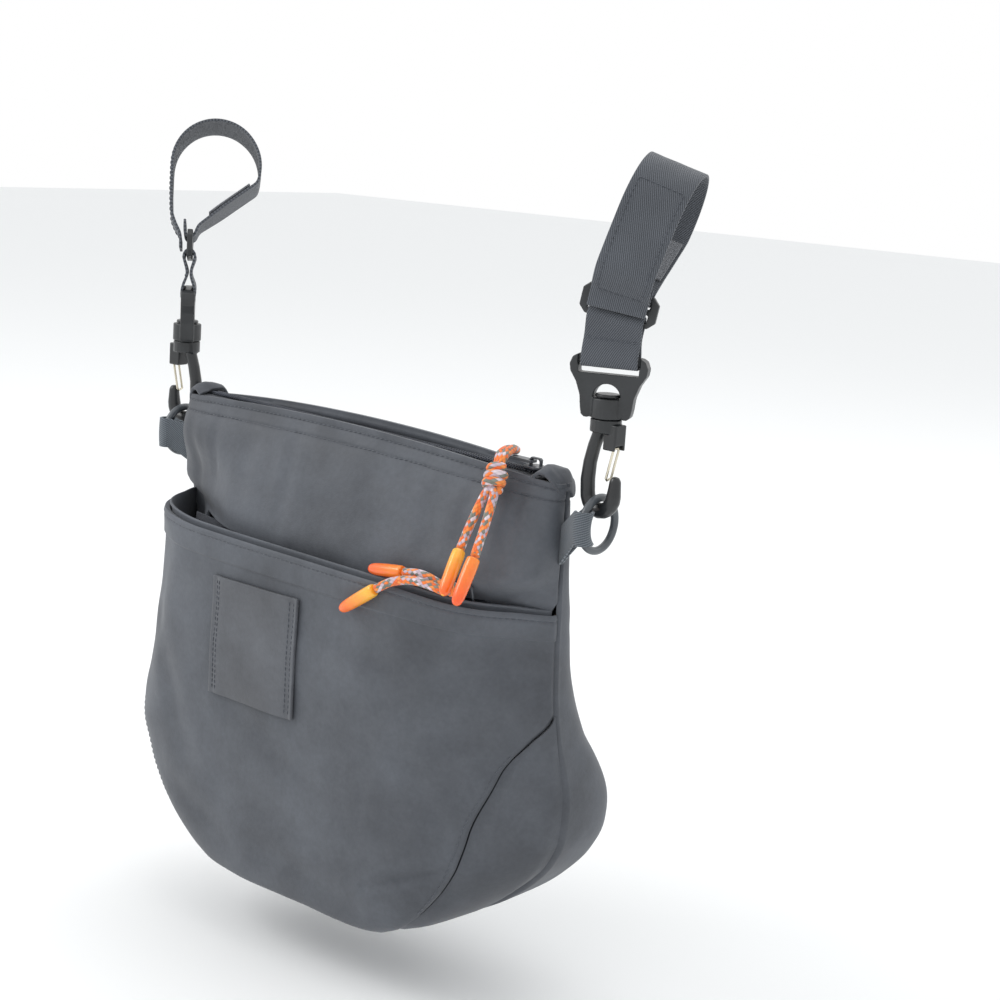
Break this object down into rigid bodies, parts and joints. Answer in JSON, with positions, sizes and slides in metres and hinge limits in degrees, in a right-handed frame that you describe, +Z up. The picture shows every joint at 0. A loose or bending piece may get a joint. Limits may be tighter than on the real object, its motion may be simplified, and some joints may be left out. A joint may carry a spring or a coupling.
{
  "type": "stroller organizer bag",
  "caption": "Zipped pouch with an open front pocket, hung from a stroller handlebar by webbing loops with swivel hooks and rings at both sides.",
  "frame": {"origin": "on the height of the push bar's axis, halfway between the two hanging lines", "axes": "+X along the bag to its right end, +Y away from the pocket side, +Z up"},
  "size_m": [0.3311, 0.1112, 0.3679],
  "materials": {
    "leather": "soft nubuck, blue-grey",
    "webbing": "woven webbing, grey",
    "plastic": "moulded, near black, soft sheen",
    "enamel": "dark grey enamel",
    "steel": "bright spring wire",
    "zip": "woven zip tape and coil, dark grey",
    "cord": "braided cord, speckled orange, lilac and grey",
    "tip": "glossy, translucent orange to yellow"
  },
  "bodies": {
    "straps": {"band_slider_left": "plastic", "band_slider_right": "plastic", "closure_pad_left": "webbing", "closure_pad_right": "webbing", "handlebar_band_left": "webbing", "handlebar_band_right": "webbing", "hook_webbing_left": "webbing", "hook_webbing_right": "webbing", "yoke_left": "plastic", "yoke_right": "plastic"},
    "hook_right": {"swivel_hook_right": "plastic"},
    "hook_left": {"swivel_hook_left": "plastic"},
    "gate_right": {"hook_gate_right": "steel"},
    "gate_left": {"hook_gate_left": "steel"},
    "ring_right": {"ring_right": "enamel"},
    "ring_left": {"ring_left": "enamel"},
    "main_slider": {"main_zip_slider": "plastic"},
    "main_pull": {"main_zip_pull": "plastic", "main_cord_knot": "cord", "main_cord_loop": "cord", "main_cord_strand_1": "cord", "main_cord_strand_2": "cord", "main_cord_tip_1": "tip", "main_cord_tip_2": "tip"},
    "pocket_slider": {"pocket_zip_slider": "plastic", "pocket_zip_bail": "enamel", "pocket_cord_knot": "cord", "pocket_cord_loop": "cord", "pocket_cord_strand_1": "cord", "pocket_cord_strand_2": "cord", "pocket_cord_tip_1": "tip", "pocket_cord_tip_2": "tip"},
    "bag": {"back_panel": "leather", "front_panel": "leather", "front_patch": "leather", "main_zip_coil_back": "zip", "main_zip_coil_front": "zip", "main_zip_tape_back": "zip", "main_zip_tape_front": "zip", "pocket_gusset_left": "leather", "pocket_gusset_right": "leather", "pocket_panel": "leather", "pocket_zip_coil": "zip", "pocket_zip_tape": "zip", "ring_tab_left": "webbing", "ring_tab_right": "webbing", "zip_end_cover_left": "leather", "zip_end_cover_right": "leather"}
  },
  "joints": [
    {"name": "hook_turn_right", "type": "hinge", "parent": "straps", "child": "hook_right", "pos_m": [0.137, 0, -0.087], "axis": [0, 0, 1], "range_deg": [-12, 12]},
    {"name": "hook_turn_left", "type": "hinge", "parent": "straps", "child": "hook_left", "pos_m": [-0.137, 0, -0.087], "axis": [0, 0, 1], "range_deg": [-12, 12]},
    {"name": "gate_right", "type": "hinge", "parent": "hook_right", "child": "gate_right", "pos_m": [0.14417, -0.00063, -0.0992], "axis": [0.0872, 0.9962, 0], "range_deg": [0, 20], "stiffness_Nm_per_rad": 0.02},
    {"name": "gate_left", "type": "hinge", "parent": "hook_left", "child": "gate_left", "pos_m": [-0.14417, -0.00063, -0.0992], "axis": [0.0872, -0.9962, 0], "range_deg": [0, 20], "stiffness_Nm_per_rad": 0.02},
    {"name": "bag_swing", "type": "hinge", "parent": "straps", "child": "bag", "pos_m": [0, 0, -0.1279], "axis": [1, 0, 0], "range_deg": [-30, 30]},
    {"name": "ring_turn_right", "type": "hinge", "parent": "bag", "child": "ring_right", "pos_m": [0.137, 0, -0.134], "axis": [0, 0, 1], "range_deg": [-3, 3]},
    {"name": "ring_turn_left", "type": "hinge", "parent": "bag", "child": "ring_left", "pos_m": [-0.137, 0, -0.134], "axis": [0, 0, 1], "range_deg": [-3, 3]},
    {"name": "main_zip_slide", "type": "slide", "parent": "bag", "child": "main_slider", "axis": [-0.9997, 0, 0.025], "range_m": [0, 0.19]},
    {"name": "main_pull_turn", "type": "hinge", "parent": "main_slider", "child": "main_pull", "pos_m": [0.1012, -0.005, -0.11135], "axis": [0, 1, 0], "range_deg": [0, 25]},
    {"name": "pocket_zip_slide", "type": "hinge", "parent": "bag", "child": "pocket_slider", "pos_m": [0, 0.431, -0.176], "axis": [0.025, 0, 0.9997], "range_deg": [-8, 0]}
  ]
}
